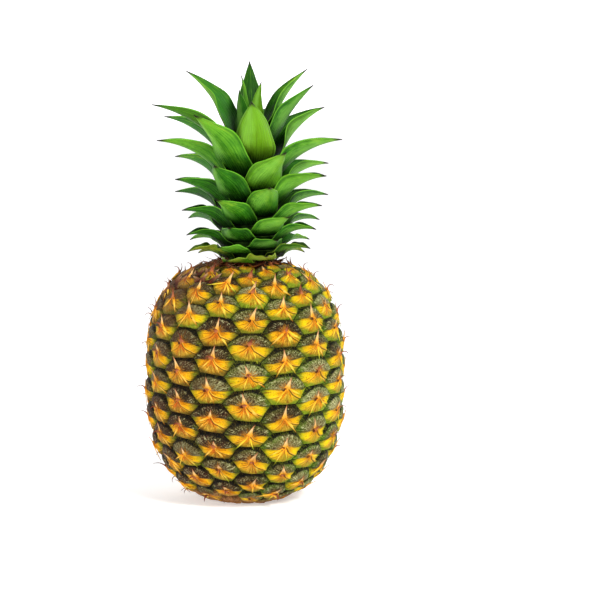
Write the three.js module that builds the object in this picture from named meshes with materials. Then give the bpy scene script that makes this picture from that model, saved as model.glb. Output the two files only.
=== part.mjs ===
// A ripe pineapple that stands on the small flat cut at its base.
// Millimetres, +Z up. The origin is the middle of the base cut, and the front of the fruit faces -Y.
import * as THREE from 'three';

const TURN = 2 * Math.PI;
const FRONT = -TURN / 4;
const DEGREE = TURN / 360;

// The fruit: a barrel cut flat at both ends.
const FRUIT_HEIGHT = 150;
const FRUIT_RADIUS = 62;
const BASE_FLAT_RADIUS = 21;
const CROWN_SEAT_RADIUS = 17;
const WIDEST_HEIGHT = 76;
const LOWER_BARREL_POWER = 2.45;
const UPPER_BARREL_POWER = 2.9;
const RIND_RINGS = 32;
const RIND_STEPS_ROUND = 68;

// The eyes sit in a closed spiral lattice: 17 columns, each 8/17 of a row above its neighbour.
const EYE_COLUMNS = 17;
const ROWS_CLIMBED_IN_A_TURN = 8;
const LOWEST_EYE_PITCH = 18.8;
const HIGHEST_EYE_PITCH = 15.8;
const FIRST_COLUMN_ANGLE = FRONT - 37.8 * DEGREE;
const FIRST_ROW_SHIFT = -0.16;
const GROOVE_DEPTH = 3;
const GROOVE_FADE = 16;

// The crown: leaves in 8 ranks round a short stem.
const CROWN_SHIFT_X = 4;
const STEM_TO_SEAT_GAP = 0.3;
const CROWN_RISE = 126;
const STEM_HEIGHT = CROWN_RISE * 0.667;
const STEM_RADIUS = CROWN_SEAT_RADIUS - 2.5;
const STEM_TIP_RADIUS = 1.4;
const STEM_STEPS_ROUND = 20;
const STEM_RINGS = 9;
const LEAF_COUNT = 53;
const LEAF_DIVERGENCE = 135 * DEGREE;
const FIRST_LEAF_ANGLE = FRONT - 22.5 * DEGREE;
const LEAF_SWING = 6;
const LEAF_SWAY = 0.9;
const LEAF_REACH_CHANGE = 2;
const LEAF_ARCH_CHANGE = 0.02;
const LEAF_THICKNESS = 0.8;
const LEAF_TO_STEM_GAP = STEM_RADIUS * 0.06;
const LOWEST_LEAF_HEIGHT = 1.6;
const LOWER_LEAF_WIDTH = 20;
const UPPER_LEAF_WIDTH = 23;
const LEAF_TIP_WIDTH = 0.9;
const LOWEST_TIP_RISE = 4;
const LOWEST_TIP_REACH = 38;
const TIP_REACH_GAIN = 29;
const LEAF_ARCH = 0.15;
const LOWER_LEAF_CHANNEL = 1;
const UPPER_LEAF_CHANNEL = 6;
const TOP_LEAF_CHANNEL = 2;
const LEAF_WRAP = 41 * DEGREE;
const CHANNEL_FROM_WRAP = 34 * DEGREE;
const CHANNEL_FULL_WRAP = 19 * DEGREE;
const TOP_LEAF_WRAP = 100 * DEGREE;
const LEAF_STEPS_ALONG = 5;
const LEAF_STEPS_ACROSS = 3;
const TOP_LEAF_STEPS_ACROSS = 6;
const TOP_LEAVES_FROM = 0.9;

// The highest leaves, from the lowest of them up. Each has its own turn from its rank in degrees,
// its own width, and its tip's reach and rise for a crown of the reach and rise given here.
const HIGH_LEAVES_FOR_REACH = 67;
const HIGH_LEAVES_FOR_RISE = 126;
const HIGH_LEAVES = [
  { turn: -10, reach: 56, rise: 93, width: 22 },
  { turn: 0, reach: 52, rise: 97, width: 20 },
  { turn: 0, reach: 60, rise: 91, width: 20 },
  { turn: -16, reach: 46, rise: 101, width: 23 },
  { turn: 6, reach: 48, rise: 96, width: 19 },
  { turn: 0, reach: 66, rise: 99, width: 21 },
  { turn: 0, reach: 44, rise: 111, width: 20 },
  { turn: 40, reach: 46, rise: 120, width: 21 },
  { turn: 0, reach: 20, rise: 108, width: 12 },
  { turn: -6, reach: 36, rise: 121, width: 20 },
  { turn: -64, reach: 12, rise: 126, width: 18 },
  { turn: 8, reach: 12, rise: 113, width: 10 },
  { turn: 132, reach: 6, rise: 117, width: 8 },
];

const COLOURS = {
  rind: { color: 0xa98a2c, roughness: 0.6, metalness: 0 },
  stem: { color: 0xb9bf7a, roughness: 0.7, metalness: 0 },
  leaf: { color: 0x3c9220, roughness: 0.45, metalness: 0 },
  lowLeaf: { color: 0x7d8a3a, roughness: 0.6, metalness: 0 },
};

function smooth(from, to, x) {
  return THREE.MathUtils.smoothstep(x, from, to);
}

function piece(name, geometry, look) {
  const mesh = new THREE.Mesh(geometry, new THREE.MeshStandardMaterial(look));
  mesh.name = name;
  return mesh;
}

// The barrel's outline is half a superellipse below its widest height and half above it. Each half
// is as tall as it has to be to reach the radius of its flat end.
function barrelHalf(endRadius, height, power) {
  const share = (1 - (endRadius / FRUIT_RADIUS) ** power) ** (1 / power);
  return height / share;
}

const LOWER_HALF = barrelHalf(BASE_FLAT_RADIUS, WIDEST_HEIGHT, LOWER_BARREL_POWER);
const UPPER_HALF = barrelHalf(CROWN_SEAT_RADIUS, FRUIT_HEIGHT - WIDEST_HEIGHT, UPPER_BARREL_POWER);

function barrelPoint(angle) {
  const half = angle < 0 ? LOWER_HALF : UPPER_HALF;
  const power = angle < 0 ? LOWER_BARREL_POWER : UPPER_BARREL_POWER;
  const across = Math.cos(angle) ** (2 / power);
  const up = Math.sign(angle) * Math.abs(Math.sin(angle)) ** (2 / power);
  return new THREE.Vector2(FRUIT_RADIUS * across, WIDEST_HEIGHT + half * up);
}

function flatEndAngle(endRadius, power) {
  return Math.acos((endRadius / FRUIT_RADIUS) ** (power / 2));
}

// Points along the outline from the base cut to the crown seat, with their distance along it.
function barrelOutline(steps) {
  const lowest = -flatEndAngle(BASE_FLAT_RADIUS, LOWER_BARREL_POWER);
  const highest = flatEndAngle(CROWN_SEAT_RADIUS, UPPER_BARREL_POWER);
  const points = [];
  let run = 0;
  for (let step = 0; step <= steps; step += 1) {
    const point = barrelPoint(lowest + ((highest - lowest) * step) / steps);
    if (step > 0) run += point.distanceTo(points[step - 1].point);
    points.push({ point, run });
  }
  return points;
}

const OUTLINE = barrelOutline(400);
const OUTLINE_LENGTH = OUTLINE[OUTLINE.length - 1].run;

function outlineAt(run) {
  const next = Math.max(1, OUTLINE.findIndex((entry) => entry.run >= run - 1e-9));
  const low = OUTLINE[next - 1];
  const high = OUTLINE[next];
  const share = (run - low.run) / (high.run - low.run);
  return low.point.clone().lerp(high.point, share);
}

// The row number at a distance along the outline: the rows get closer towards the crown.
function rowAt(run) {
  const change = (LOWEST_EYE_PITCH - HIGHEST_EYE_PITCH) / OUTLINE_LENGTH;
  return Math.log(LOWEST_EYE_PITCH / (LOWEST_EYE_PITCH - change * run)) / change;
}

// 1 in the middle of an eye and 0 in the groove round it.
function eyeRelief(angle, run) {
  const column = ((angle - FIRST_COLUMN_ANGLE) / TURN) * EYE_COLUMNS;
  const row = rowAt(run) - FIRST_ROW_SHIFT;
  const climb = ROWS_CLIMBED_IN_A_TURN / EYE_COLUMNS;
  let relief = 0;
  for (let near = Math.floor(column) - 1; near <= Math.floor(column) + 2; near += 1) {
    const offset = row - climb * near;
    const up = (offset - Math.round(offset)) * 2;
    const across = (column - near) * 1.5;
    relief = Math.max(relief, 1 - Math.hypot(up, across) ** 3);
  }
  return relief;
}

function fruitGeometry() {
  const rings = [new THREE.Vector2(0, 0)];
  for (let ring = 0; ring <= RIND_RINGS; ring += 1) {
    rings.push(outlineAt((OUTLINE_LENGTH * ring) / RIND_RINGS));
  }
  rings.push(new THREE.Vector2(0, FRUIT_HEIGHT));
  rings[1].y = 0;
  rings[rings.length - 2].y = FRUIT_HEIGHT;
  const geometry = new THREE.LatheGeometry(rings, RIND_STEPS_ROUND);
  geometry.rotateX(TURN / 4);
  const position = geometry.attributes.position;
  for (let index = 0; index < position.count; index += 1) {
    const ring = (index % rings.length) - 1;
    if (ring > 0 && ring < RIND_RINGS) {
      const x = position.getX(index);
      const y = position.getY(index);
      const run = (OUTLINE_LENGTH * ring) / RIND_RINGS;
      const fromEnd = Math.min(run, OUTLINE_LENGTH - run);
      const angle = Math.atan2(y, x);
      const depth = GROOVE_DEPTH * smooth(0, GROOVE_FADE, fromEnd) * (1 - eyeRelief(angle, run));
      const radius = Math.hypot(x, y);
      position.setX(index, (x * (radius - depth)) / radius);
      position.setY(index, (y * (radius - depth)) / radius);
    }
  }
  return geometry;
}

function stemRadius(height) {
  const share = Math.min(1, height / STEM_HEIGHT);
  return STEM_TIP_RADIUS + (STEM_RADIUS - STEM_TIP_RADIUS) * Math.sqrt(1 - share ** 3);
}

function stemGeometry() {
  const outline = [new THREE.Vector2(0, STEM_TO_SEAT_GAP)];
  for (let ring = 0; ring <= STEM_RINGS; ring += 1) {
    const share = Math.sin((TURN / 4) * (ring / STEM_RINGS));
    const height = STEM_HEIGHT * share;
    outline.push(new THREE.Vector2(stemRadius(height), Math.max(height, STEM_TO_SEAT_GAP)));
  }
  outline.push(new THREE.Vector2(0, STEM_HEIGHT));
  const geometry = new THREE.LatheGeometry(outline, STEM_STEPS_ROUND);
  geometry.rotateX(TURN / 4);
  return geometry;
}

// Each leaf's root climbs the stem and its tip follows the outline of the whole crown, so the
// leaves lie on nested bowls round the crown's axis and none crosses another.
function rankedLeaf(number) {
  const swayed = Math.max(0, (number + LEAF_SWAY * Math.sin(2.4 * number)) / (LEAF_COUNT - 1));
  return {
    turn: LEAF_SWING * Math.sin(3.7 * number),
    reach: LOWEST_TIP_REACH + TIP_REACH_GAIN * swayed ** 1.2 + LEAF_REACH_CHANGE * Math.sin(5.3 * number),
    rise: LOWEST_TIP_RISE + (CROWN_RISE - LOWEST_TIP_RISE) * (0.22 * swayed + 0.78 * swayed ** 1.8),
    width: THREE.MathUtils.lerp(LOWER_LEAF_WIDTH, UPPER_LEAF_WIDTH, number / LEAF_COUNT),
  };
}

function leafChannel(share) {
  const deepening = THREE.MathUtils.lerp(LOWER_LEAF_CHANNEL, UPPER_LEAF_CHANNEL, smooth(0, 0.7, share));
  const atTop = smooth(TOP_LEAVES_FROM - 0.1, TOP_LEAVES_FROM, share);
  return THREE.MathUtils.lerp(deepening, TOP_LEAF_CHANNEL, atTop);
}

function highLeaf(given) {
  const widening = (LOWEST_TIP_REACH + TIP_REACH_GAIN) / HIGH_LEAVES_FOR_REACH;
  const growth = CROWN_RISE / HIGH_LEAVES_FOR_RISE;
  return { ...given, reach: given.reach * widening, rise: given.rise * growth };
}

function leafPlan(number) {
  const share = number / (LEAF_COUNT - 1);
  const aboveRanked = number - (LEAF_COUNT - HIGH_LEAVES.length);
  const habit = aboveRanked < 0 ? rankedLeaf(number) : highLeaf(HIGH_LEAVES[aboveRanked]);
  const span = STEM_HEIGHT - LOWEST_LEAF_HEIGHT;
  const rootHeight = LOWEST_LEAF_HEIGHT + span * (0.27 * share + 0.73 * share ** 2);
  const root = new THREE.Vector2(stemRadius(rootHeight) + LEAF_TO_STEM_GAP + LEAF_THICKNESS, rootHeight);
  const tip = new THREE.Vector2(habit.reach, habit.rise);
  const chord = tip.clone().sub(root);
  const lean = Math.atan2(chord.y, chord.x);
  const archShare = LEAF_ARCH + LEAF_ARCH_CHANGE * Math.sin(1.9 * number);
  const arch = chord.length() * archShare * Math.cos(lean);
  const bend = new THREE.Vector2(-Math.sin(lean), Math.cos(lean)).multiplyScalar(2 * arch);
  const middle = root.clone().add(tip).multiplyScalar(0.5).add(bend);
  return {
    path: new THREE.QuadraticBezierCurve(root, middle, tip),
    width: habit.width,
    channel: leafChannel(share),
    wrap: THREE.MathUtils.lerp(LEAF_WRAP, TOP_LEAF_WRAP, smooth(TOP_LEAVES_FROM, 1, share)),
    stepsAcross: share > TOP_LEAVES_FROM ? TOP_LEAF_STEPS_ACROSS : LEAF_STEPS_ACROSS,
    angle: FIRST_LEAF_ANGLE + number * LEAF_DIVERGENCE + habit.turn * DEGREE,
  };
}

function leafGeometry(plan) {
  const geometry = new THREE.BoxGeometry(2, 1, 1, plan.stepsAcross, LEAF_STEPS_ALONG, 1);
  const position = geometry.attributes.position;
  for (let index = 0; index < position.count; index += 1) {
    const across = position.getX(index);
    const along = position.getY(index) + 0.5;
    const level = position.getZ(index);
    const centre = plan.path.getPoint(along);
    const tangent = plan.path.getTangent(along);
    const outline = (1 - along ** 2.4) * (0.84 + 0.7 * along * (1 - along));
    const half = Math.max(LEAF_TIP_WIDTH, plan.width * outline) / 2;
    const wrapped = Math.min(half / centre.x, plan.wrap);
    const crowding = (CHANNEL_FROM_WRAP - wrapped) / (CHANNEL_FROM_WRAP - CHANNEL_FULL_WRAP);
    const clearOfNeighbours = smooth(0, 1, crowding);
    const channel = plan.channel * clearOfNeighbours * (half / (plan.width / 2)) * across ** 2;
    const lift = channel + level * LEAF_THICKNESS;
    const radius = centre.x - tangent.y * lift;
    const angle = plan.angle - across * wrapped;
    position.setXYZ(index, radius * Math.cos(angle), radius * Math.sin(angle), centre.y + tangent.x * lift);
  }
  return geometry;
}

const group = new THREE.Group();
group.add(piece('fruit_body', fruitGeometry(), COLOURS.rind));

const crown = new THREE.Group();
crown.position.set(CROWN_SHIFT_X, 0, FRUIT_HEIGHT);
crown.add(piece('crown_stem', stemGeometry(), COLOURS.stem));
for (let number = 0; number < LEAF_COUNT; number += 1) {
  const look = number < 8 ? COLOURS.lowLeaf : COLOURS.leaf;
  const name = `crown_leaf_${String(number + 1).padStart(2, '0')}`;
  crown.add(piece(name, leafGeometry(leafPlan(number)), look));
}
group.add(crown);

export default group;
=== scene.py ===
"""A ripe pineapple that stands on its base cut: rind of eyes, bract tips, dry neck and leafy crown."""
import math
import random

import bpy
import numpy as np
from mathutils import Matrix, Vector


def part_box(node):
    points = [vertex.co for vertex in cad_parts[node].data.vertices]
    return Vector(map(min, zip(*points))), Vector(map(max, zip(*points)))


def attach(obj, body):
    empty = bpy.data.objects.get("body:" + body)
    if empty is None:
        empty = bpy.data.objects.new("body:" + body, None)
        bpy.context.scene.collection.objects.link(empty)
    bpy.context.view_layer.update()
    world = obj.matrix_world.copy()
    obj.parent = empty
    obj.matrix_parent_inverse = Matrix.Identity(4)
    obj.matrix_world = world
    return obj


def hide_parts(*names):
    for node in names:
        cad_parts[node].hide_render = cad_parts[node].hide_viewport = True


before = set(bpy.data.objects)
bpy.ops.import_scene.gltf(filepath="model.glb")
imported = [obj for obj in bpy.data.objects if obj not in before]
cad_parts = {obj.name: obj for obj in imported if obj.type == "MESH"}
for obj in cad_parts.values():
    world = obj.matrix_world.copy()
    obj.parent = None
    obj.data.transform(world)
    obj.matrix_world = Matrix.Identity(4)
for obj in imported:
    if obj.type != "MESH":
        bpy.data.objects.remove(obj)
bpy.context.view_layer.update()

MM = 0.001
TURN = 2 * math.pi
FRONT = -TURN / 4

# ---------------------------------------------------------------- sizes, in millimetres

fruit_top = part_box("fruit_body")[1]
stem_low, stem_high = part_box("crown_stem")

FRUIT_HEIGHT = fruit_top.z / MM
FRUIT_RADIUS = 62.0
BASE_FLAT_RADIUS = 21.0
CROWN_SEAT_RADIUS = 17.0
WIDEST_HEIGHT = 76.0
LOWER_BARREL_POWER = 2.45
UPPER_BARREL_POWER = 2.9

EYE_COLUMNS = 17
ROWS_CLIMBED_IN_A_TURN = 8
LOWEST_EYE_PITCH = 18.8
HIGHEST_EYE_PITCH = 15.8
FIRST_COLUMN_ANGLE = FRONT - math.radians(37.8)
FIRST_ROW_SHIFT = -0.16
LOWEST_ROW = -1.4
EYE_CUTS = 10
GROOVE_DEPTH = 2.1
WELD = 0.02
SEAT_TRIM = 0.8

TIP_WALL = 0.22
RIB_WALL = 0.25
FIBRE_WALL = 0.2
RING_FIBRES = 230
SHOULDER_SCALES = 40
HOOK_SHARE = 0.6

# The ribs of a bract: how far each leans aside, and the share of bracts that grow it.
BRACT_RIBS = [(0.72, 0.85), (-0.74, 0.5), (0.3, 0.2), (-1.1, 0.15), (1.15, 0.15)]

CROWN_AXIS_X = (stem_low.x + stem_high.x) / 2 / MM
STEM_TO_SEAT_GAP = 0.3
CROWN_FOOT = stem_low.z / MM - STEM_TO_SEAT_GAP
STEM_HEIGHT = stem_high.z / MM - CROWN_FOOT
STEM_RADIUS = CROWN_SEAT_RADIUS - 2.5
STEM_TIP_RADIUS = 1.4
LEAF_COUNT = 53
FIRST_LEAF_ANGLE = FRONT - math.radians(22.5)
LEAF_DIVERGENCE = math.radians(135)
LEAF_SWING = 6.0
LEAF_SWAY = 0.9
LEAF_REACH_CHANGE = 2.0
LEAF_ARCH_CHANGE = 0.02
LEAF_THICKNESS = 0.8
LEAF_TO_STEM_GAP = STEM_RADIUS * 0.06
LOWEST_LEAF_HEIGHT = 1.6
LOWER_LEAF_WIDTH = 20.0
UPPER_LEAF_WIDTH = 23.0
LOWEST_TIP_RISE = 4.0
CROWN_RISE = 126.0
LOWEST_TIP_REACH = 38.0
TIP_REACH_GAIN = 29.0
LEAF_ARCH = 0.15
LOWER_LEAF_CHANNEL = 1.0
UPPER_LEAF_CHANNEL = 6.0
TOP_LEAF_CHANNEL = 2.0
CHANNEL_FROM_WRAP = math.radians(34)
CHANNEL_FULL_WRAP = math.radians(19)
LEAF_WRAP = math.radians(41)
TOP_LEAF_WRAP = math.radians(100)
TOP_LEAVES_FROM = 0.9
FREE_TIP_REACH = 25.0
FRONT_BOW = 0.20
GATHERED_GUTTER = 0.5
LOWER_GUTTER = 3.0
HIGH_GUTTER = 4.0
LEAF_WIDENING = 1.08
LOW_LEAVES = 8
LEAF_STATIONS = 34
LEAF_LANES = 12
STEM_SIDES = 32
STEM_STEPS = 14

# Seeds of the random habits, piece by piece.
EYE_SEED = 11
TIP_SEED = 23
RIB_SEED = 67
NECK_SEED = 41
LEAF_SEED = 5

# Leaves by number: how much painted light brightens a few, and how much wider some are than their plan.
PAINTED_LIGHT_LEAVES = {44: 0.6, 48: 0.4, 52: 0.45, 46: 0.15, 42: 0.2, 36: 0.3}
WIDER_LEAVES = {44: 1.25, 48: 1.35, 50: 1.35, 46: 1.2, 42: 1.15, 36: 1.2, 41: 1.3, 33: 1.2, 31: 1.15}

# The highest leaves from the lowest of them up: turn from the rank in degrees, reach and rise of the
# tip, and width.
HIGH_LEAVES = [
    (-10, 56, 93, 22),
    (0, 52, 97, 20),
    (0, 60, 91, 20),
    (-16, 46, 101, 23),
    (6, 48, 96, 19),
    (0, 66, 99, 21),
    (0, 44, 111, 20),
    (40, 46, 120, 21),
    (0, 20, 108, 12),
    (-6, 36, 121, 20),
    (-64, 12, 126, 18),
    (8, 12, 113, 10),
    (132, 6, 117, 8),
]


# ---------------------------------------------------------------- camera, floor and light

def make_camera():
    bpy.ops.object.camera_add()
    camera = bpy.context.object
    camera.name = "camera"
    distance = 1.3
    lift = math.radians(6)
    aim = Vector((0.0347, 0, 0.126))
    camera.location = aim + distance * Vector((0, -math.cos(lift), math.sin(lift)))
    camera.rotation_euler = (math.radians(90) - lift, 0, 0)
    camera.data.sensor_width = 36
    camera.data.lens = 123.6
    bpy.context.scene.camera = camera


def white_plane(name, glow, **place):
    bpy.ops.mesh.primitive_plane_add(size=60, **place)
    plane = bpy.context.object
    plane.name = name
    bpy.ops.object.transform_apply(location=True, rotation=True, scale=True)
    paint = Paint(name + "_white", roughness=1.0, specular=0.0)
    paint.socket("Base Color", (0.8, 0.8, 0.8, 1))
    paint.socket("Emission Color", (1, 1, 1, 1))
    paint.socket("Emission Strength", glow)
    plane.data.materials.append(paint.material)


def make_stage():
    white_plane("floor", 0.45, location=(0, 20, 0))
    white_plane("backdrop", 1.0, location=(0, 12, 10), rotation=(TURN / 4, 0, 0))


def soft_light(name, place, aim, size, power):
    bpy.ops.object.light_add(type="AREA", location=place)
    lamp = bpy.context.object
    lamp.name = name
    lamp.data.size = size
    lamp.data.energy = power
    lamp.rotation_euler = (Vector(aim) - Vector(place)).to_track_quat("-Z", "Y").to_euler()


def make_lights():
    world = bpy.data.worlds.new("studio")
    world.use_nodes = True
    world.node_tree.nodes["Background"].inputs["Color"].default_value = (1, 1, 1, 1)
    world.node_tree.nodes["Background"].inputs["Strength"].default_value = 0.29
    bpy.context.scene.world = world
    soft_light("key", (1.1, -1.5, 1.6), (0, 0, 0.13), 0.7, 60)
    soft_light("fill", (-1.6, -1.1, 0.6), (0, 0, 0.13), 1.0, 19)
    scene = bpy.context.scene
    scene.view_settings.view_transform = "Standard"
    scene.view_settings.look = "None"


# ---------------------------------------------------------------- shader maths

def socket_of(value):
    return value.socket if isinstance(value, Value) else value


class Value:
    """An output socket that adds a Math node for each operator used on it."""

    def __init__(self, paint, socket):
        self.paint = paint
        self.socket = socket

    def maths(self, operation, *others):
        return self.paint.node("ShaderNodeMath", {"operation": operation}, [self, *others])

    def __add__(self, other):
        return self.maths("ADD", other)

    __radd__ = __add__

    def __mul__(self, other):
        return self.maths("MULTIPLY", other)

    __rmul__ = __mul__

    def __sub__(self, other):
        return self.maths("SUBTRACT", other)

    def __rsub__(self, other):
        return self.paint.node("ShaderNodeMath", {"operation": "SUBTRACT"}, [other, self])

    def __truediv__(self, other):
        return self.maths("DIVIDE", other)

    def __pow__(self, other):
        return self.maths("POWER", other)

    def magnitude(self):
        return self.maths("ABSOLUTE")

    def wave(self):
        return self.maths("SINE")

    def most(self, other):
        return self.maths("MAXIMUM", other)

    def turn_from(self, other):
        """The angle whose tangent is this value over the other."""
        return self.maths("ARCTAN2", other)

    def step(self, low, high):
        """0 below low and 1 above high, eased between them; low may be the larger."""
        if low > high:
            return 1 - self.step(high, low)
        settings = {"interpolation_type": "SMOOTHSTEP"}
        return self.paint.node("ShaderNodeMapRange", settings, [self, low, high, 0.0, 1.0])


class Paint:
    """A material with one Principled shader, and the few calls that build its nodes."""

    def __init__(self, name, roughness, specular):
        self.material = bpy.data.materials.new(name)
        self.material.use_nodes = True
        self.tree = self.material.node_tree
        self.shader = self.tree.nodes["Principled BSDF"]
        self.socket("Roughness", roughness)
        self.socket("Specular IOR Level", specular)

    def socket(self, label, value):
        self.feed(self.shader.inputs[label], value)

    def feed(self, target, value):
        value = socket_of(value)
        if isinstance(value, bpy.types.NodeSocket):
            self.tree.links.new(value, target)
        else:
            target.default_value = value

    def node(self, kind, settings=None, inputs=(), output=0):
        made = self.tree.nodes.new(kind)
        for label, value in (settings or {}).items():
            if label == "stops":
                self.set_stops(made.color_ramp, value)
            else:
                setattr(made, label, value)
        pairs = inputs.items() if isinstance(inputs, dict) else enumerate(inputs)
        for label, value in pairs:
            self.feed(made.inputs[label], value)
        return Value(self, made.outputs[output])

    @staticmethod
    def set_stops(ramp, stops):
        while len(ramp.elements) < len(stops):
            ramp.elements.new(1.0)
        for element, (place, colour) in zip(ramp.elements, stops):
            element.position = place
            element.color = colour4(colour)

    def mix(self, share, first, second, blend="MIX"):
        """A colour that goes from first to second as share goes from 0 to 1."""
        settings = {"data_type": "RGBA", "blend_type": blend}
        inputs = {0: share, 6: colour4(first), 7: colour4(second)}
        return self.node("ShaderNodeMix", settings, inputs, 2)

    def tint(self, colour, strength):
        """The colour with each of its parts multiplied by the same part of strength."""
        return self.mix(1.0, colour, strength, "MULTIPLY")

    def ramp(self, value, *stops):
        return self.node("ShaderNodeValToRGB", {"stops": stops}, [value])

    def uv(self, layer):
        return self.split(self.node("ShaderNodeUVMap", {"uv_map": layer}))[:2]

    def place(self):
        return self.node("ShaderNodeTexCoord", {}, (), "Object")

    def split(self, vector):
        parts = self.tree.nodes.new("ShaderNodeSeparateXYZ")
        self.feed(parts.inputs[0], vector)
        return [Value(self, part) for part in parts.outputs]

    def vector(self, x, y, z=0.0):
        return self.node("ShaderNodeCombineXYZ", {}, [x, y, z])

    def noise(self, vector, scale, detail=3.0, rough=0.55):
        inputs = {"Vector": vector, "Scale": scale, "Detail": detail, "Roughness": rough}
        return self.node("ShaderNodeTexNoise", {}, inputs)

    def bump(self, height, depth):
        inputs = {"Strength": 1.0, "Distance": depth, "Height": height}
        self.socket("Normal", self.node("ShaderNodeBump", {}, inputs))


def colour4(colour):
    """The four parts of a hexadecimal code or a triple; a linked value stays as it is."""
    if isinstance(colour, str):
        colour = shade(colour)
    if isinstance(colour, tuple) and len(colour) == 3:
        return (*colour, 1)
    return colour


def shade(code):
    """The linear colour of a hexadecimal sRGB code."""
    parts = [int(code[i:i + 2], 16) / 255 for i in (0, 2, 4)]
    return tuple(p / 12.92 if p <= 0.04045 else ((p + 0.055) / 1.055) ** 2.4 for p in parts)


# ---------------------------------------------------------------- modelling helpers

def pick(piece):
    bpy.ops.object.select_all(action="DESELECT")
    piece.select_set(True)
    bpy.context.view_layer.objects.active = piece


def smooth(low, high, x):
    """0 at low and 1 at high, eased between them; low may be the larger."""
    t = np.clip((x - low) / (high - low), 0, 1)
    return t * t * (3 - 2 * t)


def points_of(piece):
    points = np.zeros(len(piece.data.vertices) * 3)
    piece.data.vertices.foreach_get("co", points)
    return points.reshape(-1, 3)


def put_points(piece, points):
    piece.data.vertices.foreach_set("co", np.asarray(points, float).ravel())
    piece.data.update()


def paint_uv(piece, layer, values):
    """Writes one pair for each vertex into a UV layer."""
    corners = np.zeros(len(piece.data.loops), int)
    piece.data.loops.foreach_get("vertex_index", corners)
    made = piece.data.uv_layers.get(layer) or piece.data.uv_layers.new(name=layer)
    made.data.foreach_set("uv", np.asarray(values, float)[corners].ravel())


def copy_of(piece, name):
    copy = piece.copy()
    copy.data = piece.data.copy()
    copy.name = name
    bpy.context.scene.collection.objects.link(copy)
    return copy


def join(pieces, name):
    bpy.ops.object.select_all(action="DESELECT")
    for piece in pieces:
        piece.select_set(True)
    bpy.context.view_layer.objects.active = pieces[0]
    bpy.ops.object.join()
    joined = bpy.context.object
    joined.name = name
    joined.data.name = name
    return joined


def thicken(piece, thickness):
    pick(piece)
    wall = piece.modifiers.new("wall", "SOLIDIFY")
    wall.thickness = thickness * MM
    wall.offset = 0
    bpy.ops.object.modifier_apply(modifier="wall")


def finish_piece(piece, paint, slot, *nodes):
    piece.data.materials.clear()
    piece.data.materials.append(paint.material)
    pick(piece)
    bpy.ops.object.shade_smooth()
    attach(piece, "root")
    if nodes:
        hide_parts(*nodes)


# ---------------------------------------------------------------- the barrel and its eyes

def barrel_half(end_radius, height, power):
    """The half height of the whole barrel whose outline reaches end_radius at this height."""
    share = (1 - (end_radius / FRUIT_RADIUS) ** power) ** (1 / power)
    return height / share


LOWER_HALF = barrel_half(BASE_FLAT_RADIUS, WIDEST_HEIGHT, LOWER_BARREL_POWER)
UPPER_HALF = barrel_half(CROWN_SEAT_RADIUS, FRUIT_HEIGHT - WIDEST_HEIGHT, UPPER_BARREL_POWER)


def barrel_outline():
    """Radius and height along the outline, with the run along it: 0 at the base flat's edge."""
    angle = np.radians(np.linspace(-89.5, 89.5, 2400))
    power = np.where(angle < 0, LOWER_BARREL_POWER, UPPER_BARREL_POWER)
    radius = FRUIT_RADIUS * np.cos(angle) ** (2 / power)
    half = np.where(angle < 0, LOWER_HALF, UPPER_HALF)
    height = WIDEST_HEIGHT + half * np.sign(angle) * np.abs(np.sin(angle)) ** (2 / power)
    run = np.concatenate([[0], np.cumsum(np.hypot(np.diff(radius), np.diff(height)))])
    start = run[np.argmax(height > 0)]
    end = run[np.argmax(height > FRUIT_HEIGHT)]
    return radius, height, run - start, end - start


OUT_RADIUS, OUT_HEIGHT, OUT_RUN, OUT_LENGTH = barrel_outline()
PITCH_CHANGE = (LOWEST_EYE_PITCH - HIGHEST_EYE_PITCH) / OUT_LENGTH


def run_of_row(row):
    """The run along the outline up to a row; the rows get closer as they climb."""
    return LOWEST_EYE_PITCH * (1 - np.exp(-row * PITCH_CHANGE)) / PITCH_CHANGE


def on_barrel(column, row, rise):
    """Points in millimetres at lattice places, lifted off the barrel by rise."""
    run = run_of_row(row)
    radius = np.interp(run, OUT_RUN, OUT_RADIUS)
    height = np.interp(run, OUT_RUN, OUT_HEIGHT)
    step = 0.5
    slope_r = np.interp(run + step, OUT_RUN, OUT_RADIUS) - np.interp(run - step, OUT_RUN, OUT_RADIUS)
    slope_z = np.interp(run + step, OUT_RUN, OUT_HEIGHT) - np.interp(run - step, OUT_RUN, OUT_HEIGHT)
    length = np.maximum(1e-9, np.hypot(slope_r, slope_z))
    radius = radius + rise * slope_z / length
    height = height - rise * slope_r / length
    angle = FIRST_COLUMN_ANGLE + column * TURN / EYE_COLUMNS
    return np.stack([radius * np.cos(angle), radius * np.sin(angle), height], axis=-1)


# The corners of an eye's tile in a lattice whose columns are OFFSET of a row apart.
OFFSET = ROWS_CLIMBED_IN_A_TURN / EYE_COLUMNS
EYE_CORNERS = [
    (1, (2 * OFFSET - 1) * 2 / 3),
    (0.5, (1 + OFFSET) * 2 / 3),
    (-0.5, (2 - OFFSET) * 2 / 3),
]
EYE_CORNERS += [(-x, -y) for x, y in EYE_CORNERS]


def make_eye_tile():
    """A flat six-sided tile of small triangles, one unit from its middle to its side corners."""
    bpy.ops.mesh.primitive_circle_add(vertices=6, radius=1, fill_type="TRIFAN")
    tile = bpy.context.object
    tile.name = "eye_tile"
    corners = sorted(EYE_CORNERS, key=lambda c: math.atan2(c[1], c[0]))
    rim = [v for v in tile.data.vertices if v.co.length > 0.5]
    for vertex, corner in zip(sorted(rim, key=lambda v: math.atan2(v.co.y, v.co.x)), corners):
        vertex.co = (*corner, 0)
    pick(tile)
    bpy.ops.object.mode_set(mode="EDIT")
    bpy.ops.mesh.select_all(action="SELECT")
    bpy.ops.mesh.subdivide(number_cuts=EYE_CUTS)
    bpy.ops.object.mode_set(mode="OBJECT")
    points = points_of(tile)
    paint_uv(tile, "eye", points[:, :2])
    return tile


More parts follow.
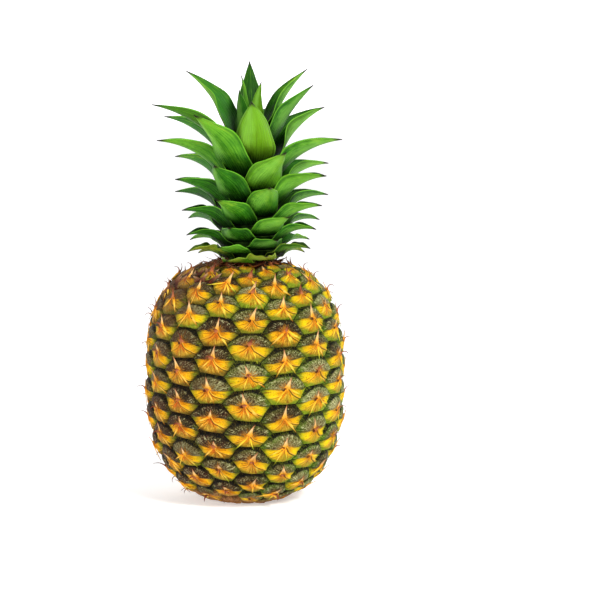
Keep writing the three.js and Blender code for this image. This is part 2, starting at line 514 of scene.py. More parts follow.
def tile_span(x, y):
    """How far out a place in the tile is: 0 in its middle, 1 on all six sides."""
    sides = []
    for (ax, ay), (bx, by) in zip(EYE_CORNERS[:3], EYE_CORNERS[1:4]):
        across = (by - ay) * x - (bx - ax) * y
        sides.append(np.abs(across / ((by - ay) * ax - (bx - ax) * ay)))
    return np.maximum.reduce(sides)


def eye_rise(x, y, bract_height, skew):
    """Height over the groove in millimetres: a pillow of sepals above a tented, ribbed bract."""
    span = tile_span(x, y)
    edge = np.hypot(x / 0.96, (y + 0.08) / 1.07)
    turn = np.arctan2(x, y + 0.2)
    lobes = np.abs(np.sin(3.5 * turn + 0.6 + skew))
    dome = 3.3 * np.maximum(0, 1 - edge ** 3.6) ** 0.6
    dome -= 0.6 * smooth(0.3, 0.8, edge) * (1 - lobes) ** 2
    dome -= 1.1 * np.exp(-(x / 0.3) ** 2 - ((y - 0.14) / 0.2) ** 2)
    brow = 0.10 * x * skew - 0.10 * x ** 2 + 0.03 * np.sin(7 * x + 3 * skew)
    brow += 0.20 * np.exp(-(x / 0.13) ** 2)
    down = np.maximum(0, brow + 0.02 - y)
    fan = np.arctan2(np.abs(x), down + 0.03)
    reach = np.hypot(x, down)
    off_crest = reach * (fan - 0.42 - 0.45 * reach)
    strong = np.where(x > 0, 0.9, 0.5)
    crest = np.exp(-(off_crest / 0.10) ** 2)
    furrow = np.exp(-((off_crest - 0.16) / 0.09) ** 2)
    tent = strong * (crest - 0.5 * furrow)
    keel = np.maximum(0, 1 - np.abs(x) / 1.04)
    bract = 0.5 + bract_height * keel * (1 - 0.35 * down) + tent * smooth(0.05, 0.3, reach)
    bract = bract * (1 - smooth(0.91, 1.0, span))
    inside = 1 - smooth(-0.07, 0.07, y - brow)
    return dome * (1 - smooth(0.93, 1.0, span)) * (1 - inside) + bract * inside


def lattice_warp(column, row):
    """The growth of a real fruit: rows and columns that wander a little, the same all the way round."""
    around = column * TURN / EYE_COLUMNS
    lean = 0.07 * np.sin(around + row * 0.9) + 0.06 * np.sin(2 * around - row * 0.7 + 1.0)
    lean += 0.03 * np.sin(5 * around + row * 4.1) + 0.02 * np.sin(9 * around - row * 3.0)
    climb = 0.07 * np.sin(around * 2 + row * 0.8 + 0.6) + 0.05 * np.sin(3 * around + 2.0)
    climb += 0.04 * np.sin(6 * around - row * 3.3 + 1.0) + 0.02 * np.sin(11 * around + row * 2.0)
    return column + lean, row + climb


def all_eyes():
    """Column and row of every eye that touches the fruit, with its own random habit."""
    eyes = []
    chance = random.Random(EYE_SEED)
    for column in range(EYE_COLUMNS):
        shift = OFFSET * column + FIRST_ROW_SHIFT
        for number in range(-12, 26):
            row = number + shift
            run = run_of_row(row)
            if row > LOWEST_ROW and run < OUT_LENGTH + 12:
                eyes.append({
                    "column": column,
                    "row": row,
                    "run": run,
                    "tone": chance.random(),
                    "bract": chance.uniform(2.5, 3.7),
                    "bulge": chance.uniform(0.85, 1.12),
                    "skew": chance.uniform(-1, 1),
                })
    return eyes


def wrapped(eye, x, y, rise):
    column, row = lattice_warp(eye["column"] + x * 2 / 3, eye["row"] + y / 2)
    return on_barrel(column, row, rise)


def eye_strength(run):
    """Eyes flatten out under the base and shrink towards the crown."""
    return (0.35 + 0.65 * smooth(-5, 30, run)) * (0.55 + 0.45 * smooth(OUT_LENGTH, OUT_LENGTH - 35, run))


def cut_flat(height, facing):
    """Cuts the mesh in edit mode with a level plane, drops what lies past it and closes the cut."""
    bpy.ops.mesh.select_all(action="SELECT")
    bpy.ops.mesh.bisect(
        plane_co=(0, 0, height), plane_no=(0, 0, facing), clear_outer=True, use_fill=True, threshold=1e-6)


def make_rind(eyes, paint):
    """The whole rind: one copy of the tile for each eye, bulged, wrapped round the barrel and welded."""
    tile = make_eye_tile()
    flat = points_of(tile)
    x, y = flat[:, 0], flat[:, 1]
    copies = []
    for eye in eyes:
        copy = copy_of(tile, "eye")
        strength = eye_strength(run_of_row(eye["row"] + y / 2))
        rise = eye_rise(x, y, eye["bract"], eye["skew"]) * eye["bulge"] * strength - GROOVE_DEPTH * strength
        put_points(copy, wrapped(eye, x, y, rise) * MM)
        paint_uv(copy, "eye_kind", np.full((len(flat), 2), (eye["tone"], eye["skew"])))
        copies.append(copy)
    rind = join(copies, "rind")
    bpy.data.objects.remove(tile)
    pick(rind)
    bpy.ops.object.mode_set(mode="EDIT")
    bpy.ops.mesh.select_all(action="SELECT")
    bpy.ops.mesh.remove_doubles(threshold=WELD * MM)
    cut_flat(0, -1)
    cut_flat((FRUIT_HEIGHT - SEAT_TRIM) * MM, 1)
    bpy.ops.mesh.select_all(action="SELECT")
    bpy.ops.mesh.normals_make_consistent(inside=False)
    bpy.ops.object.mode_set(mode="OBJECT")
    finish_piece(rind, paint, "rind", "fruit_body")


# ---------------------------------------------------------------- bract tips

def make_tip_blank(lanes=4, stations=10, sharpness=2.3):
    """One papery bract tip, a unit long along +Y: wide at its root, drawn out to a point, keeled."""
    bpy.ops.mesh.primitive_grid_add(x_subdivisions=lanes, y_subdivisions=stations, size=1)
    blank = bpy.context.object
    blank.name = "tip_blank"
    points = points_of(blank)
    across = points[:, 0] * 2
    along = points[:, 1] + 0.5
    half = 0.5 * (1 - along) ** sharpness + 0.09 * (1 - along ** 3) + 0.008
    points[:, 0] = across * half
    points[:, 1] = along
    points[:, 2] = -0.5 * half * np.abs(across) ** 1.3
    put_points(blank, points)
    paint_uv(blank, "tip", np.stack([across, along], axis=-1))
    return blank


def eye_frame(eye, x, y, rise):
    """The place on an eye, with its right, up and out directions."""
    at = wrapped(eye, np.array([x, x + 0.02, x]), np.array([y, y, y + 0.02]), np.array([rise] * 3))
    right = Vector(at[1] - at[0]).normalized()
    out = right.cross(Vector(at[2] - at[0])).normalized()
    up = out.cross(right)
    return Vector(at[0]), right, up, out


def bend_tip(flat, length, width, lean, curl, swerve):
    """Right, up and out offsets of a tip that leans and curls out of its eye."""
    along = flat[:, 1]
    angle = lean + curl * along ** 1.5
    steps = np.linspace(0, 1, 41)
    heading = lean + curl * steps ** 1.5
    ups = np.concatenate([[0], np.cumsum(np.cos(heading[1:]) / 40)])
    outs = np.concatenate([[0], np.cumsum(np.sin(heading[1:]) / 40)])
    up = length * np.interp(along, steps, ups) - flat[:, 2] * width * np.sin(angle)
    out = length * np.interp(along, steps, outs) + flat[:, 2] * width * np.cos(angle)
    aside = flat[:, 0] * width + length * swerve * along ** 1.6
    return aside, up, out


def place_tip(blank, flat, frame_here, offsets, kind):
    place, right, up, out = (np.array(v) for v in frame_here)
    aside, rise, lift = (o[:, None] for o in offsets)
    tip = copy_of(blank, "tip")
    put_points(tip, (place + right * aside + up * rise + out * lift) * MM)
    paint_uv(tip, "tip_kind", np.full((len(flat), 2), kind))
    return tip


def make_bract_tips(eyes, paint):
    """The drawn-out point of each bract, fresh or dry, and behind many of them a curled dry hook."""
    blank = make_tip_blank()
    flat = points_of(blank)
    chance = random.Random(TIP_SEED)
    tips = []
    for eye in eyes:
        strength = float(eye_strength(eye["run"]))
        dry = chance.random() < 0.12 + 0.5 * float(smooth(OUT_LENGTH - 45, OUT_LENGTH - 10, eye["run"]))
        length = chance.uniform(5.5, 11.0) * (0.6 + 0.4 * strength)
        width = chance.uniform(3.8, 5.8) * (0.75 if dry else 1.0)
        lean = chance.uniform(-0.06, 0.16)
        curl = chance.uniform(-0.1, 0.5) + (chance.uniform(0.4, 1.7) if dry else 0)
        swerve = chance.uniform(-0.3, 0.4)
        tone = chance.random() * 0.5 + (0.5 if dry else 0)
        height = (0.7 + eye["bract"]) * eye["bulge"] * strength - GROOVE_DEPTH * strength
        frame_here = eye_frame(eye, 0.0, -0.1, height - 0.35)
        if frame_here[0].z < 5 or frame_here[0].z > FRUIT_HEIGHT - 2.5:
            continue
        offsets = bend_tip(flat, length, width, lean, curl, swerve)
        tips.append(place_tip(blank, flat, frame_here, offsets, (tone, strength)))
        if chance.random() < HOOK_SHARE:
            curl = chance.uniform(1.4, 3.4)
            length = chance.uniform(5, 8)
            width = chance.uniform(3, 4.6)
            swerve = chance.uniform(-0.5, 0.5)
            offsets = bend_tip(flat, length, width, 0.2, curl, swerve)
            tips.append(place_tip(blank, flat, frame_here, offsets, (chance.uniform(0.5, 0.78), 1.0)))
    joined = join(tips, "bract_tips")
    bpy.data.objects.remove(blank)
    thicken(joined, TIP_WALL)
    finish_piece(joined, paint, "rind")


def make_bract_ribs(eyes, paint):
    """Wiry ribs that fan from the middle of each bract down to its lower edge and a little past it."""
    blank = make_tip_blank(2, 7, 1.1)
    flat = points_of(blank)
    chance = random.Random(RIB_SEED)
    ribs = []
    for eye in eyes:
        strength = float(eye_strength(eye["run"]))
        height = (0.6 + eye["bract"]) * eye["bulge"] * strength - GROOVE_DEPTH * strength
        for lean_aside, share in BRACT_RIBS:
            if chance.random() > share:
                continue
            aside = lean_aside + chance.uniform(-0.14, 0.14)
            place, right, up, out = eye_frame(eye, 0.06 * aside, 0.0, height - 0.2)
            if place.z < 6 or place.z > FRUIT_HEIGHT - 4:
                continue
            down = -up * math.cos(aside) + right * math.sin(aside)
            frame_here = (place, down.cross(out), down, out)
            length = chance.uniform(9.0, 13.5) * (0.55 + 0.45 * strength)
            width = chance.uniform(1.5, 2.8) if aside > 0.4 else chance.uniform(0.9, 1.8)
            lean = chance.uniform(-0.2, -0.04)
            curl = chance.uniform(-0.3, 0.05)
            swerve = chance.uniform(-0.12, 0.25) * (1 if aside > 0 else -1)
            offsets = bend_tip(flat, length, width, lean, curl, swerve)
            ribs.append(place_tip(blank, flat, frame_here, offsets, (chance.random(), 1.0)))
    joined = join(ribs, "bract_ribs")
    bpy.data.objects.remove(blank)
    thicken(joined, RIB_WALL)
    finish_piece(joined, paint, "rind")


def surface_frame(around, run, spin, lift):
    """A place on the barrel, with right, up and out; up points to the crown, turned by spin."""
    radius = float(np.interp(run, OUT_RUN, OUT_RADIUS))
    height = float(np.interp(run, OUT_RUN, OUT_HEIGHT))
    ahead_r = float(np.interp(run + 1, OUT_RUN, OUT_RADIUS)) - radius
    ahead_z = float(np.interp(run + 1, OUT_RUN, OUT_HEIGHT)) - height
    outward = Vector((math.cos(around), math.sin(around), 0))
    side = Vector((-math.sin(around), math.cos(around), 0))
    climb = (outward * ahead_r + Vector((0, 0, ahead_z))).normalized()
    out = side.cross(climb)
    up = climb * math.cos(spin) + side * math.sin(spin)
    place = outward * radius + Vector((0, 0, height)) + out * lift
    return place, up.cross(out), up, out


def make_neck_fibres(paint):
    """The frayed ring round the seat of the crown, and the dry scales on one shoulder."""
    blank = make_tip_blank()
    flat = points_of(blank)
    chance = random.Random(NECK_SEED)
    tips = []
    for number in range(RING_FIBRES):
        around = TURN * (number + chance.uniform(-0.6, 0.6)) / RING_FIBRES
        run = OUT_LENGTH - chance.uniform(-3, 9)
        thread = chance.random() < 0.5
        length = chance.uniform(6, 13) if thread else chance.uniform(5, 9)
        width = chance.uniform(0.8, 1.8) if thread else chance.uniform(3, 7)
        frame_here = surface_frame(around, run, chance.gauss(0, 1.5), chance.uniform(-0.4, 0.8))
        lean = chance.uniform(-0.05, 0.35)
        curl = chance.uniform(-0.5, 0.6)
        swerve = chance.uniform(-0.5, 0.5)
        offsets = bend_tip(flat, length, width, lean, curl, swerve)
        tips.append(place_tip(blank, flat, frame_here, offsets, (chance.uniform(0.55, 1), 0.0)))
    for _ in range(SHOULDER_SCALES):
        around = FRONT - math.radians(chance.uniform(30, 105))
        run = OUT_LENGTH - chance.uniform(6, 42)
        frame_here = surface_frame(around, run, chance.gauss(0, 0.35), chance.uniform(-0.6, 0.5))
        length = chance.uniform(8, 12)
        width = chance.uniform(11, 17)
        curl = chance.uniform(-0.3, 0.15)
        lean = chance.uniform(-0.05, 0.12)
        swerve = chance.uniform(-0.3, 0.3)
        offsets = bend_tip(flat, length, width, lean, curl, swerve)
        tips.append(place_tip(blank, flat, frame_here, offsets, (chance.uniform(0.85, 1), 0.0)))
    joined = join(tips, "neck_fibres")
    bpy.data.objects.remove(blank)
    thicken(joined, FIBRE_WALL)
    finish_piece(joined, paint, "rind")


# ---------------------------------------------------------------- crown

def stem_radius(height):
    share = np.clip(height / STEM_HEIGHT, 0, 1)
    return STEM_TIP_RADIUS + (STEM_RADIUS - STEM_TIP_RADIUS) * np.sqrt(1 - share ** 3)


def leaf_plan(number):
    """Where leaf number grows and how it bends, counted from 0 at the foot of the crown."""
    share = number / (LEAF_COUNT - 1)
    above_ranked = number - (LEAF_COUNT - len(HIGH_LEAVES))
    if above_ranked < 0:
        swayed = max(0, (number + LEAF_SWAY * math.sin(2.4 * number)) / (LEAF_COUNT - 1))
        turn = LEAF_SWING * math.sin(3.7 * number)
        reach = LOWEST_TIP_REACH + TIP_REACH_GAIN * swayed ** 1.2
        reach += LEAF_REACH_CHANGE * math.sin(5.3 * number)
        gain = 0.22 * swayed + 0.78 * swayed ** 1.8
        rise = LOWEST_TIP_RISE + (CROWN_RISE - LOWEST_TIP_RISE) * gain
        width = LOWER_LEAF_WIDTH + (UPPER_LEAF_WIDTH - LOWER_LEAF_WIDTH) * number / LEAF_COUNT
    else:
        turn, reach, rise, width = HIGH_LEAVES[above_ranked]
    span = STEM_HEIGHT - LOWEST_LEAF_HEIGHT
    root_height = LOWEST_LEAF_HEIGHT + span * (0.27 * share + 0.73 * share ** 2)
    root = np.array([stem_radius(root_height) + LEAF_TO_STEM_GAP + LEAF_THICKNESS, root_height])
    tip = np.array([reach, rise], float)
    chord = tip - root
    lean = math.atan2(chord[1], chord[0])
    arch_share = LEAF_ARCH + LEAF_ARCH_CHANGE * math.sin(1.9 * number)
    angle = FIRST_LEAF_ANGLE + number * LEAF_DIVERGENCE + math.radians(turn)
    if reach > FREE_TIP_REACH:
        arch_share -= FRONT_BOW * max(0, math.cos(angle - FRONT)) ** 2
    arch = math.hypot(*chord) * arch_share * math.cos(lean)
    middle = (root + tip) / 2 + 2 * arch * np.array([-math.sin(lean), math.cos(lean)])
    blend = float(smooth(TOP_LEAVES_FROM, 1, share))
    deepening = float(smooth(0, 0.7, share))
    channel = LOWER_LEAF_CHANNEL + (UPPER_LEAF_CHANNEL - LOWER_LEAF_CHANNEL) * deepening
    at_top = float(smooth(TOP_LEAVES_FROM - 0.1, TOP_LEAVES_FROM, share))
    gutter = LOWER_GUTTER if above_ranked < 0 else HIGH_GUTTER
    return {
        "number": number,
        "path": (root, middle, tip),
        "width": width * WIDER_LEAVES.get(number + 1, LEAF_WIDENING),
        "channel": channel + (TOP_LEAF_CHANNEL - channel) * at_top,
        "gutter": gutter if reach >= FREE_TIP_REACH else GATHERED_GUTTER,
        "ruffle": 0.3 + 0.6 * float(smooth(0.35, 0.0, share)),
        "sway": math.radians(5) * math.sin(8.3 * number),
        "wrap": LEAF_WRAP + (TOP_LEAF_WRAP - LEAF_WRAP) * blend,
        "angle": angle,
    }


def make_leaf_blank():
    """A flat leaf slab: x runs across from -1 to 1, y along from 0 to 1, z is -1 outside and 1 inside."""
    bpy.ops.mesh.primitive_grid_add(x_subdivisions=LEAF_LANES, y_subdivisions=LEAF_STATIONS, size=2)
    blank = bpy.context.object
    blank.name = "leaf_blank"
    pick(blank)
    bpy.ops.object.mode_set(mode="EDIT")
    bpy.ops.mesh.select_all(action="SELECT")
    bpy.ops.mesh.extrude_region_move(TRANSFORM_OT_translate={"value": (0, 0, 2)})
    bpy.ops.mesh.select_all(action="SELECT")
    bpy.ops.mesh.normals_make_consistent(inside=False)
    bpy.ops.object.mode_set(mode="OBJECT")
    points = points_of(blank)
    points[:, 1] = (points[:, 1] + 1) / 2
    points[:, 2] -= 1
    put_points(blank, points)
    paint_uv(blank, "leaf", points[:, :2])
    return blank


def shape_leaf(leaf, flat, plan):
    """Bends the slab along its path, tapers it, wraps its root round the stem and channels it."""
    across, along, level = flat[:, 0], flat[:, 1], flat[:, 2]
    root, middle, tip = plan["path"]
    t = along[:, None]
    centre = (1 - t) ** 2 * root + 2 * t * (1 - t) * middle + t ** 2 * tip
    tangent = 2 * (1 - t) * (middle - root) + 2 * t * (tip - middle)
    tangent = tangent / np.linalg.norm(tangent, axis=1)[:, None]
    outline = (1 - along ** 2.0) * (0.86 + 1.1 * along * (1 - along))
    half = np.maximum(0.3, plan["width"] * outline) / 2
    wrapped_half = np.minimum(half / centre[:, 0], plan["wrap"])
    crowding = (CHANNEL_FROM_WRAP - wrapped_half) / (CHANNEL_FROM_WRAP - CHANNEL_FULL_WRAP)
    clear = smooth(0, 1, crowding)
    body = np.minimum(1, half / (plan["width"] / 2))
    channel = plan["channel"] * clear * body * across ** 2
    channel = channel + plan["gutter"] * smooth(0.3, 0.6, along) * body * across ** 2
    channel = channel + plan["ruffle"] * np.abs(across) ** 3 * np.sin(along * 19 + plan["number"]) * body
    thick = LEAF_THICKNESS * (0.5 + 0.5 * (1 - across ** 2)) * (1 - 0.35 * along)
    lift = channel + level * thick / 2
    radius = centre[:, 0] - tangent[:, 1] * lift
    angle = plan["angle"] - across * wrapped_half + plan["sway"] * along ** 2
    height = CROWN_FOOT + centre[:, 1] + tangent[:, 0] * lift
    points = np.stack([CROWN_AXIS_X + radius * np.cos(angle), radius * np.sin(angle), height], axis=-1)
    put_points(leaf, points * MM)


def make_leaves(paint, low_paint):
    blank = make_leaf_blank()
    flat = points_of(blank)
    chance = random.Random(LEAF_SEED)
    for number in range(LEAF_COUNT):
        node = f"crown_leaf_{number + 1:02d}"
        leaf = copy_of(blank, f"leaf_{number + 1:02d}")
        shape_leaf(leaf, flat, leaf_plan(number))
        side = (flat[:, 2] > 0).astype(float)
        tone = np.full(len(flat), chance.random())
        paint_uv(leaf, "leaf_side", np.stack([side, tone], axis=-1))
        # Painted light: a few leaves are made paler, as if lit more strongly.
        light = PAINTED_LIGHT_LEAVES.get(number + 1, 0.0)
        paint_uv(leaf, "leaf_light", np.full((len(flat), 2), (light, 0.0)))
        low = number < LOW_LEAVES
        finish_piece(leaf, low_paint if low else paint, "low_leaf" if low else "leaf", node)
    bpy.data.objects.remove(blank)


# ---------------------------------------------------------------- finishes

def rind_paint():
    """Each eye a weathered dome of sepals over a golden bract; greener and painted lighter towards +X,
    painted darker towards -X, dried near the crown.
    """
    paint = Paint("rind_skin", roughness=0.6, specular=0.12)
    x, y = paint.uv("eye")
    tone, skew = paint.uv("eye_kind")
    place = paint.place()
    side, _, height = paint.split(place)
    fine = paint.noise(place, 1100, 4, 0.65)
    broad = paint.noise(place, 90, 3, 0.55)
    drift = paint.noise(place, 16, 2, 0.5)
    # Painted light: towards +X the eyes are lighter and yellower, as on a lit side, and also greener.
    greener_painted_lit_side = (side * 7 + 0.5 + (drift - 0.5) * 1.2 + (tone - 0.5) * 0.5).step(0.1, 0.95)
    low = y + 0.06
    reach = (x ** 2 + low ** 2) ** 0.5
    right = x.step(-0.01, 0.01)
    fan = low.turn_from(x.magnitude() + 0.001)
    fibre = paint.noise(paint.vector(fan * 7 + right * 9, reach * 1.1, tone * 31), 1.6, 4, 0.6)
    span = y.magnitude().most(x.magnitude() + y.magnitude() * 0.5)
    edge = ((x / 0.92) ** 2 + ((y + 0.08) / 1.03) ** 2) ** 0.5
    sway = (x * 7 + skew * 3).wave() * 0.03
    brow = y - sway - 0.10 * x * skew + 0.10 * x ** 2 - 0.20 * x.magnitude().step(0.22, 0.0)
    frill = paint.noise(paint.vector(fan * 24, tone * 50 + right * 9, reach * 0.8), 1.4, 3)
    above = (brow + 0.42 * (fibre - 0.5) + 0.30 * (frill - 0.5) + 0.2 * (fine - 0.5)).step(-0.04, 0.04)

    # The dome: grey, mottled and pitted, with a flame at its heart and green corners.
    worn = fibre * 0.6 + fine * 0.6 + (tone - 0.5) * 0.2 + greener_painted_lit_side * 0.06
    grey = paint.ramp(worn, (0.44, "0e0804"), (0.56, "3c301c"), (0.68, "6e6644"), (0.82, "b8b898"))
    grey = paint.mix((broad + (0.5 - greener_painted_lit_side) * 0.12).step(0.44, 0.60) * 0.65, grey, "4a2a1e")
    grey = paint.mix(greener_painted_lit_side * edge.step(0.45, 0.9) * broad.step(0.35, 0.6) * 0.75, grey, "4c7412")
    grit = (fine + (broad - 0.5) * 0.6).step(0.54, 0.70)
    grey = paint.mix(grit * 0.6, grey, "a39a80")
    pore = (fine + (drift - 0.5) * 0.4).step(0.46, 0.34)
    grey = paint.mix(pore * 0.7, grey, "140e06")
    # Painted highlight: pale glints near the dome's rim.
    glint = (fibre * 0.6 + fine * 0.5 + frill * 0.4).step(0.80, 0.92)
    glint = glint * edge.step(0.5, 0.72) * edge.step(0.97, 0.88)
    grey = paint.mix(glint * 0.6, grey, "dfe3cc")
    # Painted shade: towards -X the domes are darker and browner, as on a shaded side.
    browner_painted_shade_side = (side * -14 + 0.05 + (drift - 0.5) * 0.9 + (tone - 0.5) * 0.8).step(0.1, 0.8)
    grey = paint.mix(browner_painted_shade_side * 0.55, grey, "40221a")
    flame = (reach * 1.4 + (fibre - 0.5) * 2.6 + x.magnitude() * 0.9).step(0.8, 0.2)
    grey = paint.mix(flame * 0.9, grey, "c4822e")
    # Painted shadow: a near-black arc along the top of each dome, where the bract above overhangs it.
    rim = (edge + (frill - 0.5) * 0.28).step(0.82, 0.92) * (y - x.magnitude() * 0.45).step(-0.15, 0.3)
    grey = paint.mix(rim, grey, "060401")
    verge = (x.magnitude() + (frill - 0.5) * 0.35 - y.magnitude() * 0.1).step(0.66, 0.84)
    strand = frill * 0.7 + fine * 0.3
    fringe = paint.ramp(strand, (0.38, "0c1402"), (0.5, "2c4a08"), (0.62, "5c8a14"), (0.72, "9cb848"))
    grey = paint.mix(verge * (0.35 + greener_painted_lit_side * 0.6), grey, fringe)
    # Painted shadow: dark in the crease just above the bract's wings, towards the side corners.
    painted_crease_shadow = brow.step(0.16, 0.0) * x.magnitude().step(0.25, 0.7)
    grey = paint.mix(painted_crease_shadow * 0.8, grey, "140c04")

    # The bract: gold that turns green at its sides, a crest down each half, a painted shadow below the
    # crests.
    down = (brow * -1 + 0.02).most(0.0)
    tilt = x.magnitude().turn_from(down + 0.03)
    span_of_fan = (x ** 2 + down ** 2) ** 0.5
    off_crest = span_of_fan * (tilt - 0.42 - span_of_fan * 0.45)
    across = x.magnitude() * 0.9 + (broad - 0.5) * 0.4 + (fibre - 0.5) * 0.45
    ripe = paint.ramp(
        across, (0.05, "e87410"), (0.2, "f4a80c"), (0.40, "ffd40c"), (0.64, "c8bc10"), (0.88, "437010"))
    dull = paint.ramp(
        across, (0.05, "dc6410"), (0.22, "f0960e"), (0.45, "f8b810"), (0.66, "8c8218"), (0.9, "34460c"))
    gold = paint.mix(greener_painted_lit_side, dull, ripe)
    gold = paint.mix(greener_painted_lit_side * (1 - across) * (fibre - 0.2) * 0.8, gold, "ffe010")
    lap = paint.ramp(
        fibre * 0.8 + fine * 0.3, (0.38, "5a3a10"), (0.52, "9a7a1c"), (0.66, "c8a040"), (0.8, "d8c890"))
    lap = paint.mix(greener_painted_lit_side * 0.5, lap, "a8a820")
    lower = (down + (fibre - 0.5) * 0.7 + (broad - 0.5) * 0.4).step(0.34, 0.8)
    gold = paint.mix(lower * (0.4 + 0.5 * off_crest.step(0.02, -0.05)), gold, lap)
    gold = paint.mix(fibre.step(0.46, 0.34) * 0.75, gold, "7a2e08")
    gold = paint.mix(pore * 0.5, gold, "6a3a08")
    gold = paint.mix(fibre.step(0.58, 0.68) * 0.6, gold, "ffd45a")
    # Painted shadow: a dark line just below each crest, stronger on the right-hand crest.
    under = (off_crest + 0.055).magnitude().step(0.05, 0.015)
    under = under * span_of_fan.step(0.1, 0.3) * (0.35 + right * 0.5)
    gold = paint.mix(under, gold, "2a0e02")
    ridge = off_crest.magnitude().step(0.05, 0.02)
    ridge = ridge * span_of_fan.step(0.04, 0.15) * (0.45 + right * 0.4)
    gold = paint.mix(ridge, gold, "ffc648")
    hollow = (((x + 0.12) / 0.10) ** 2 + ((y - 0.02) / 0.14) ** 2).step(1.6, 0.4)
    gold = paint.mix(hollow * tone.step(0.25, 0.5) * 0.95, gold, "4a1006")
    # Darker olive along the eye's lower edge, greener towards +X: partly the bract's own colour, partly
    # painted contact shade.
    foot = (y * -1 + x.magnitude() * 0.5 + (fine - 0.5) * 0.1 + (fibre - 0.5) * 0.5).step(0.80, 1.04)
    gold = paint.mix(foot * 0.75, gold, paint.mix(greener_painted_lit_side, "33320c", "4c8010"))

    # The whole eye: painted shadow along the bract's upper edge, painted shade in the groove between eyes,
    # pale bristles, dried husk near the crown, brown base cut.
    # Painted shadow: a dark line on the dome along the bract's upper edge, away from its middle.
    painted_brow_shadow = (brow + 0.2 * (frill - 0.5)).magnitude().step(0.07, 0.02) * x.magnitude().step(0.12, 0.3)
    gold = paint.mix(verge * (0.5 + frill.step(0.4, 0.6) * 0.4), gold, fringe)
    skin = paint.mix(above, gold, paint.mix(painted_brow_shadow * 0.6, grey, "1c0d04"))
    # Painted shade: near-black in the groove between eyes, tinged dark green towards +X above the base.
    painted_seam_shade = (span + (fine - 0.5) * 0.05).step(0.95, 0.99) * (0.65 + 0.35 * above)
    groove = paint.mix(greener_painted_lit_side * 0.4 * height.step(0.02, 0.06), "0a0602", "2c4a0a")
    skin = paint.mix(painted_seam_shade, skin, groove)
    bristle = strand.step(0.50, 0.58) * span.step(0.80, 0.90) * (1 - above * 0.6)
    skin = paint.mix(bristle * (0.25 + greener_painted_lit_side * 0.4), skin, paint.mix(greener_painted_lit_side, "b08a3a", "a8c040"))
    dried = (height * 9 - side * 4 + (drift - 0.5) * 1.4 + (fine - 0.5) * 0.3).step(1.32, 1.62)
    husk = paint.ramp(fibre * 0.7 + fine * 0.4, (0.38, "140804"), (0.56, "54331c"), (0.78, "a07c50"))
    skin = paint.mix(dried * 0.85, skin, husk)
    flat_foot = (height * 100 + (broad - 0.5) * 2.0).step(1.0, 0.2)
    cut = paint.mix(fine.step(0.4, 0.6), "8a5a34", "c88a62")
    skin = paint.mix(flat_foot * 0.75, skin, cut)
    skin = paint.tint(skin, (1.0, 0.97, 0.66))
    paint.socket("Base Color", skin)
    paint.socket("Roughness", 0.48 + fibre * 0.3)
    grain = fibre * 1.6 + fine * 0.6 + (ridge * 0.8 - under * 0.8) * (1 - above)
    paint.bump(grain, 0.0010)
    return paint


def tip_paint():
    """Papery tips: fresh orange ones, dry brown ones, and grey ones where they are driest."""
    paint = Paint("bract_paper", roughness=0.7, specular=0.1)
    across, along = paint.uv("tip")
    tone, strength = paint.uv("tip_kind")
    streak = paint.noise(paint.vector(across * 5, along * 0.8, tone * 90), 2.2, 3)
    level = along + 0.5 * (streak - 0.5)
    fresh = paint.ramp(
        level, (0.0, "e88c14"), (0.3, "eeaa38"), (0.6, "f0c888"), (0.85, "d08c62"), (1.0, "7a3a26"))
    dry = paint.ramp(level, (0.0, "c2701e"), (0.25, "b06a40"), (0.6, "8a4630"), (1.0, "48180c"))
    # The grey-brown of the driest scales and fibres, with painted shade making their roots near-black where
    # they lie under their neighbours.
    grey = paint.ramp(level, (0.0, "0c0502"), (0.3, "3c2014"), (0.65, "7c5238"), (1.0, "c09a74"))
    old = paint.mix(strength.step(0.05, 0.3), paint.mix(tone.step(0.74, 0.8), dry, grey), dry)
    skin = paint.mix(tone.step(0.45, 0.55), fresh, old)
    skin = paint.mix(streak.step(0.5, 0.38) * 0.5, skin, "7a2c14")
    paint.socket("Base Color", skin)
    paint.bump(streak, 0.0004)
    return paint


def stem_paint():
    paint = Paint("stem_fibre", roughness=0.8, specular=0.1)
    place = paint.place()
    husk = paint.noise(place, 300, 4, 0.6)
    paint.socket("Base Color", paint.ramp(husk, (0.35, "0c1c02"), (0.6, "24400c"), (0.8, "4a5a1c")))
    paint.bump(husk, 0.0005)
    return paint


def make_stem(paint):
    """The short stem: a cylinder scaled ring by ring to its rounded taper."""
    bpy.ops.mesh.primitive_cylinder_add(vertices=STEM_SIDES, radius=1, depth=1, end_fill_type="TRIFAN")
    stem = bpy.context.object
    pick(stem)
    bpy.ops.object.mode_set(mode="EDIT")
    for cut in range(1, STEM_STEPS):
        bpy.ops.mesh.select_all(action="SELECT")
        bpy.ops.mesh.bisect(plane_co=(0, 0, -0.5 + cut / STEM_STEPS), plane_no=(0, 0, 1))
    bpy.ops.object.mode_set(mode="OBJECT")
    points = points_of(stem)
    share = np.sin((points[:, 2] + 0.5) * TURN / 4)
    height = np.maximum(STEM_TO_SEAT_GAP, STEM_HEIGHT * share)
    radius = stem_radius(height)
    points[:, 0] = CROWN_AXIS_X + points[:, 0] * radius
    points[:, 1] *= radius
    points[:, 2] = CROWN_FOOT + height
    put_points(stem, points * MM)
    stem.name = "stem"
    finish_piece(stem, paint, "stem", "crown_stem")


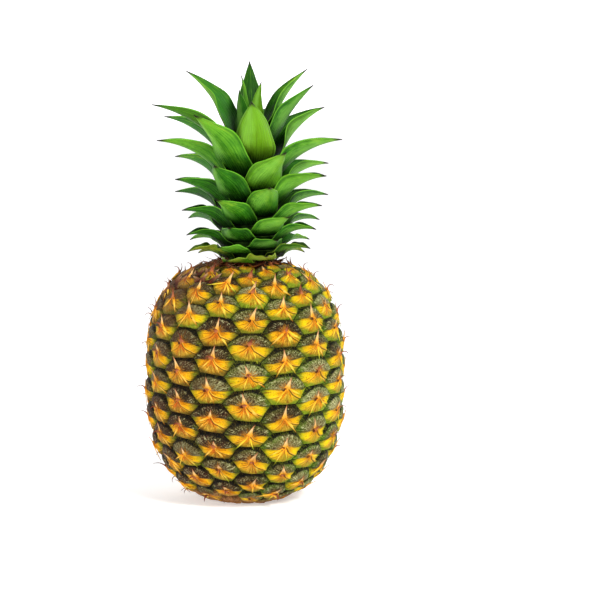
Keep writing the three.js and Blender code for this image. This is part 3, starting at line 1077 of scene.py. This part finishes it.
def rib_paint():
    """Ribs that start orange and end brown, or green towards +X."""
    paint = Paint("rib_fibre", roughness=0.7, specular=0.1)
    along = paint.uv("tip")[1]
    tone = paint.uv("tip_kind")[0]
    place = paint.place()
    side = paint.split(place)[0]
    speck = paint.noise(place, 700, 3)
    level = along + 0.4 * (speck - 0.5)
    warm = paint.ramp(
        level, (0.0, "e07c14"), (0.25, "eea628"), (0.55, "e8b84a"), (0.8, "a8701c"), (1.0, "4a2408"))
    lush = paint.ramp(
        level, (0.0, "e8901a"), (0.25, "f0c028"), (0.55, "d8c438"), (0.8, "8a9a20"), (1.0, "2c4a0a"))
    paint.socket("Base Color", paint.mix((side * 8 + tone).step(0.2, 1.1), warm, lush))
    paint.bump(speck, 0.0002)
    return paint


def leaf_paint(name, outer, inner, rim, glow):
    """A leaf's two faces, from their darkest colour to their lightest, with a pale rim and a dry tip."""
    paint = Paint(name, roughness=0.45, specular=0.16)
    across, along = paint.uv("leaf")
    side, tone = paint.uv("leaf_side")
    light = paint.uv("leaf_light")[0]
    wander = paint.noise(paint.vector(across * 2, along * 3, tone * 70), 2, 3)
    vein = (across * 55 + wander * 5).wave() * 0.5 + 0.5
    streak = paint.noise(paint.vector(across * 7, along * 0.9, tone * 130), 2.4, 4)
    mottled = paint.noise(paint.vector(across * 1.5, along * 4, tone * 50), 2.2, 4)
    level = along * 0.5 + 0.55 * streak + 0.45 * mottled + 0.5 * (tone - 0.5) - 0.1
    front = paint.ramp(level, (0.15, outer[0]), (0.42, outer[1]), (0.68, outer[2]), (0.95, outer[3]))
    back = paint.ramp(level, (0.2, inner[0]), (0.5, inner[1]), (0.85, inner[2]))
    # Painted light: the listed leaves turn towards the glow colour on their outer face and towards a
    # brighter green on their inner face.
    front = paint.mix(light * (0.45 + streak * 0.7), front, glow)
    skin = paint.mix(light * side * (0.3 + streak * 0.5), paint.mix(side, front, back), "3fa81c")
    skin = paint.mix(vein * streak.step(0.35, 0.7) * 0.2, skin, rim)
    # Painted shade: dark towards the leaf's root, where the leaves crowd and overlap.
    painted_root_shade = (along + (mottled - 0.5) * 0.15).step(0.42, 0.04)
    skin = paint.mix(painted_root_shade * 0.9, skin, "082002")
    edge = across.magnitude()
    skin = paint.mix(edge.step(0.80, 0.90) * edge.step(0.99, 0.93) * 0.3, skin, "0c2c04")
    skin = paint.mix(edge.step(0.95, 0.99) * 0.55, skin, rim)
    worn = (streak * 0.6 + mottled * 0.6 + along * 0.3).step(0.84, 0.98)
    skin = paint.mix(worn * 0.55 * tone.step(0.2, 0.6), skin, "9cb43c")
    # Painted highlight: a pale sheen across the outer face.
    sheen = (across * 1.6 + 0.4 + (mottled - 0.5)).step(0.0, 0.9)
    sheen = sheen * (across - (mottled - 0.5) * 0.6).step(0.95, 0.5)
    skin = paint.mix(sheen * (1 - side) * along.step(0.2, 0.5) * 0.27, skin, "b4e890")
    dry_tip = (along + (edge - 0.5) * 0.04 + (mottled - 0.5) * 0.06).step(0.9, 0.985)
    skin = paint.mix(dry_tip, skin, "241608")
    skin = paint.tint(skin, (0.72, 0.88, 0.40))
    paint.socket("Base Color", skin)
    paint.socket("Roughness", 0.36 + mottled * 0.25)
    paint.bump(vein * 0.4 + streak * 0.8, 0.0004)
    return paint


# ---------------------------------------------------------------- making

make_camera()
make_stage()
make_lights()
eyes = all_eyes()
make_rind(eyes, rind_paint())
paper = tip_paint()
make_bract_tips(eyes, paper)
make_bract_ribs(eyes, rib_paint())
make_neck_fibres(paper)
green = leaf_paint(
    "leaf_green",
    outer=("072602", "174e04", "2e7210", "6ca432"),
    inner=("041600", "0d3402", "286a0e"),
    rim="8ac84c",
    glow="a8d830",
)
olive = leaf_paint(
    "leaf_olive",
    outer=("0c2a04", "26600a", "548c1a", "b0a848"),
    inner=("0a2002", "24480a", "546a1c"),
    rim="a8b850",
    glow="b0a050",
)
make_leaves(green, olive)
make_stem(stem_paint())
